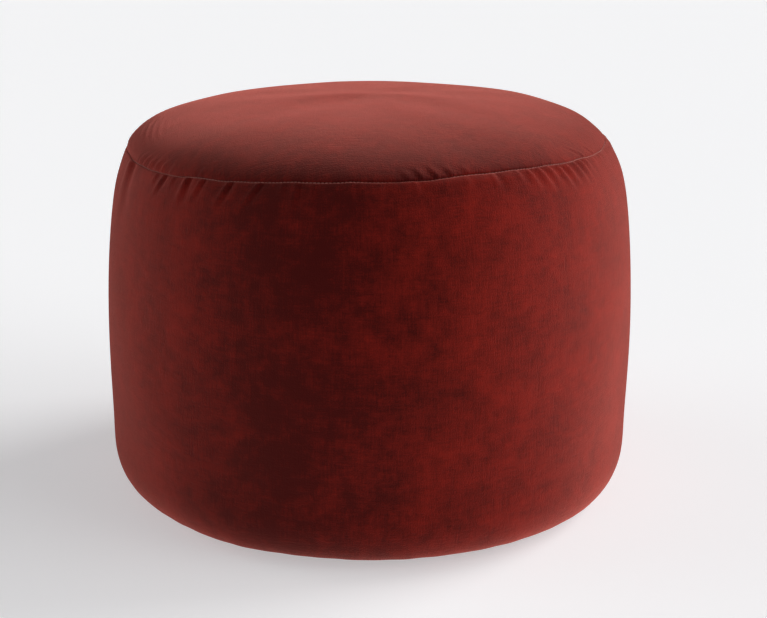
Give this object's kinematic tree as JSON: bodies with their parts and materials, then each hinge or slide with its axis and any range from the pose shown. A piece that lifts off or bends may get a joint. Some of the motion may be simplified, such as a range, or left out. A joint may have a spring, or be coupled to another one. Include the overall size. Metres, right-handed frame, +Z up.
{
  "type": "floor cushion",
  "caption": "Round velvet floor cushion with a crowned top, an upright band and a zipped base over a bead-filled liner bag.",
  "frame": {"origin": "middle of the footprint, on the floor", "axes": "+Z up from the floor to the crown; +X along the base zip towards its closed end; +Y to the back"},
  "size_m": [0.5098, 0.51, 0.376],
  "materials": {
    "velvet": "matte",
    "thread": "matte",
    "label": "satin",
    "zip_tape": "matte",
    "zip_coil": "satin",
    "zip_metal": "satin",
    "liner": "matte",
    "liner_thread": "matte",
    "beads": "matte"
  },
  "bodies": {
    "cushion": {"top_panel": "velvet", "band_front": "velvet", "band_back": "velvet", "base_panel_front": "velvet", "base_panel_back": "velvet", "top_seam_thread": "thread", "base_seam_thread": "thread", "side_seam_thread_left": "thread", "side_seam_thread_right": "thread", "care_label": "label", "zip_tape_front": "zip_tape", "zip_tape_back": "zip_tape", "zip_coil_front": "zip_coil", "zip_coil_back": "zip_coil", "zip_top_stop_front": "zip_metal", "zip_top_stop_back": "zip_metal", "zip_bottom_stop": "zip_metal", "zip_stitching_front": "thread", "zip_stitching_back": "thread", "liner_top": "liner", "liner_side": "liner", "liner_base": "liner", "liner_top_seam": "liner_thread", "liner_base_seam": "liner_thread", "bead_filling": "beads"},
    "zip_slider": {"zip_slider": "zip_metal"},
    "zip_pull": {"zip_pull": "zip_metal"}
  },
  "joints": [
    {"name": "zip_run", "type": "slide", "parent": "cushion", "child": "zip_slider", "axis": [-1, 0, 0], "range_m": [0, 0.386]},
    {"name": "pull_swing", "type": "hinge", "parent": "zip_slider", "child": "zip_pull", "pos_m": [0.204, 0, 0.007], "axis": [0, -1, 0], "range_deg": [-12, 140]}
  ]
}
